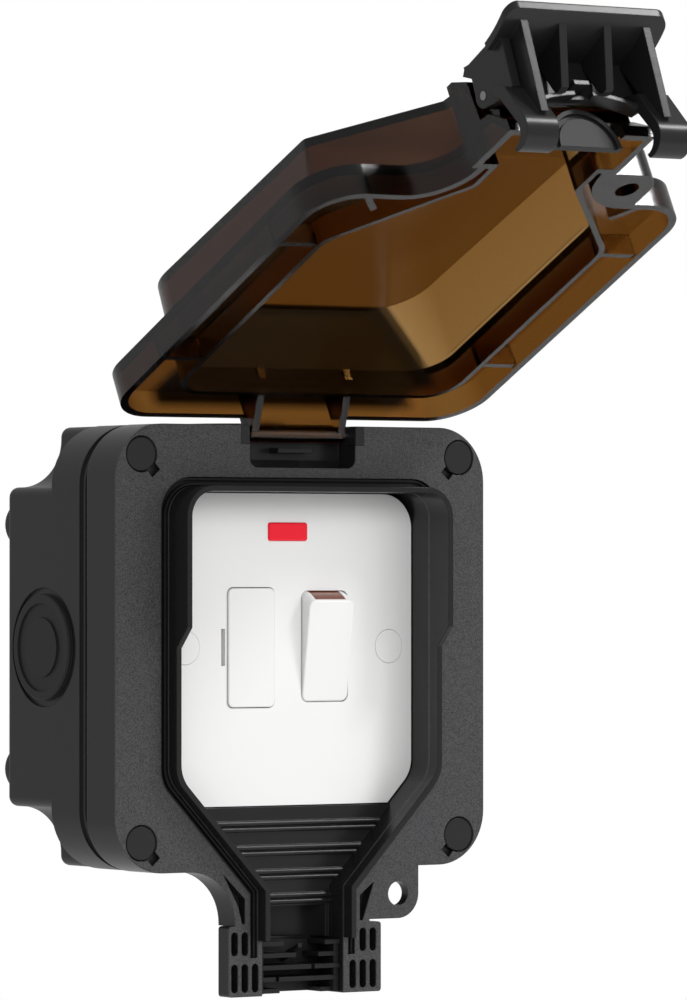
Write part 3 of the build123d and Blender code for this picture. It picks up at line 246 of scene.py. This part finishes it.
def dress(material, *names):
    """Gives one material to whole pieces."""
    for name in names:
        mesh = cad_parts[name].data
        mesh.materials.clear()
        mesh.materials.append(material)


def make_materials():
    front = local_point("front_frame", 0, -FRONT_DEPTH, 0)
    dress(moulded("black_frame", BLACK, 0.26, front.y), "front_frame")
    dress(moulded("black_box", BLACK, 0.33), "back_box")
    dress(moulded("black_latch", BLACK, 0.3), "latch")
    rubber = smooth("black_rubber", RUBBER, 0.5, 400.0, specular=0.3)
    dress(rubber, "box_gasket", "lid_seal", "throat_comb_seal", "lid_throat_seal")
    dress(rubber, "entry_plug_left", "entry_plug_right", "entry_plug_top", "entry_plug_bottom")
    caps = smooth("cap_black", CAP_BLACK, 0.28, 300.0, specular=0.35)
    dress(caps, "cover_screw_caps", "hinge_pin_keepers")
    dress(smooth("white_gloss", WHITE, 0.24), "faceplate", "plate_screw_caps", "fuse_carrier")
    dress(white_rocker(), "rocker")
    dress(smooth("housing_white", (0.72, 0.72, 0.70), 0.45), "switch_housing")
    dress(glowing("neon_red", (0.70, 0.004, 0.02), 0.12, 0.30), "neon_lens")
    dress(glowing("lamp_orange", (0.9, 0.35, 0.12), 0.2, 0.6), "neon_lamp")
    dress(smooth("ceramic", (0.78, 0.76, 0.70), 0.4), "fuse_cartridge")
    steel = metal("bright_steel", (0.62, 0.62, 0.63), 0.28)
    dress(steel, "cover_screws", "plate_screws", "fuse_end_caps", "terminal_screws")
    dress(metal("dark_steel", (0.30, 0.30, 0.31), 0.35), "hinge_pin", "latch_pin")
    dress(metal("brass", (0.72, 0.50, 0.20), 0.3), "fuse_clips", "switch_contacts", "terminals")
    dress(smoked("smoked_lid"), "lid")


def add_lamp(name, place, target, size, power, mirrored):
    light = bpy.data.lights.new(name, "AREA")
    light.shape = "DISK"
    light.size = size
    light.energy = power
    lamp = bpy.data.objects.new(name, light)
    bpy.context.collection.objects.link(lamp)
    lamp.location = place
    lamp.rotation_mode = "QUATERNION"
    lamp.rotation_quaternion = (Vector(target) - Vector(place)).to_track_quat("-Z", "Y")
    lamp.visible_glossy = mirrored


def make_world():
    """White for the camera and through clear plastic, dimmer for gloss and for soft light."""
    world = bpy.data.worlds.new("studio")
    bpy.context.scene.world = world
    world.use_nodes = True
    tree = world.node_tree
    path = tree.nodes.new("ShaderNodeLightPath")
    shown = arithmetic(tree, "MAXIMUM", path.outputs["Is Camera Ray"], path.outputs["Is Transmission Ray"])
    soft = spread(tree, path.outputs["Is Glossy Ray"], 0.0, 1.0, SOFT_LIGHT, GLOSS_LIGHT)
    strength = arithmetic(tree, "MAXIMUM", shown, soft)
    back = tree.nodes["Background"]
    back.inputs["Color"].default_value = (1.0, 1.0, 1.0, 1.0)
    tree.links.new(strength, back.inputs["Strength"])


def make_floor():
    place = (0, -0.08, FLOOR_Z)
    bpy.ops.mesh.primitive_circle_add(vertices=96, radius=FLOOR_R, fill_type="NGON", location=place)
    floor = bpy.context.object
    floor.name = "floor"
    material, _ = plain("pale_floor", (0.86, 0.86, 0.86), 0.8)
    floor.data.materials.append(material)


def make_camera():
    data = bpy.data.cameras.new("camera")
    data.sensor_width = 36.0
    data.lens = LENS_MM
    camera = bpy.data.objects.new("camera", data)
    bpy.context.collection.objects.link(camera)
    camera.location = EYE
    camera.rotation_mode = "QUATERNION"
    camera.rotation_quaternion = Vector(LOOK).to_track_quat("-Z", "Y")
    bpy.context.scene.camera = camera


def write_sizes():
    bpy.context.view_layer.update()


bpy.context.scene.view_settings.view_transform = "Standard"
make_materials()
make_world()
make_floor()
add_lamp("key_lamp", (-0.45, -1.5, 0.45), PART_CENTRE, 0.8, 8.2, False)
add_lamp("fill_lamp", (1.1, -1.0, 0.4), PART_CENTRE, 1.0, 4.5, False)
add_lamp("top_lamp", (0.62, -0.55, 0.78), THROAT, 0.22, 4.0, True)
make_camera()
write_sizes()
